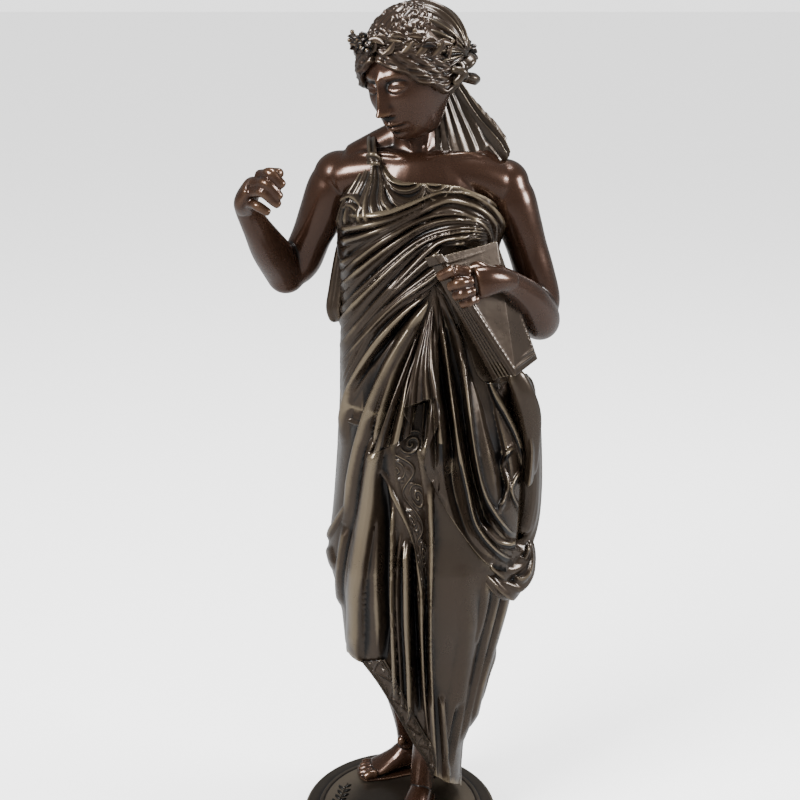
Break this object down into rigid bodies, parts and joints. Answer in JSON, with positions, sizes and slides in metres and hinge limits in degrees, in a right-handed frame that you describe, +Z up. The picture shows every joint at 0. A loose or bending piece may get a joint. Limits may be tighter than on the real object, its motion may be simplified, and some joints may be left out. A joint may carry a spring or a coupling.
{
  "type": "bronze statuette of a draped woman",
  "caption": "Cast bronze statuette of a standing draped woman in a laurel wreath and head scarf, holding a book, on a low round moulded plinth",
  "frame": {"origin": "middle of the plinth's underside", "axes": "+Z up along the figure's height, -Y towards the viewer that the figure faces, +X to the viewer's right"},
  "size_m": [0.2087, 0.145, 0.6054],
  "materials": {
    "bronze_figure": "dark brown patina over cast bronze, polished high points",
    "bronze_plinth": "dark brown patina over cast bronze, satin"
  },
  "bodies": {
    "root": {"figure": "bronze_figure", "plinth": "bronze_plinth"}
  },
  "joints": []
}
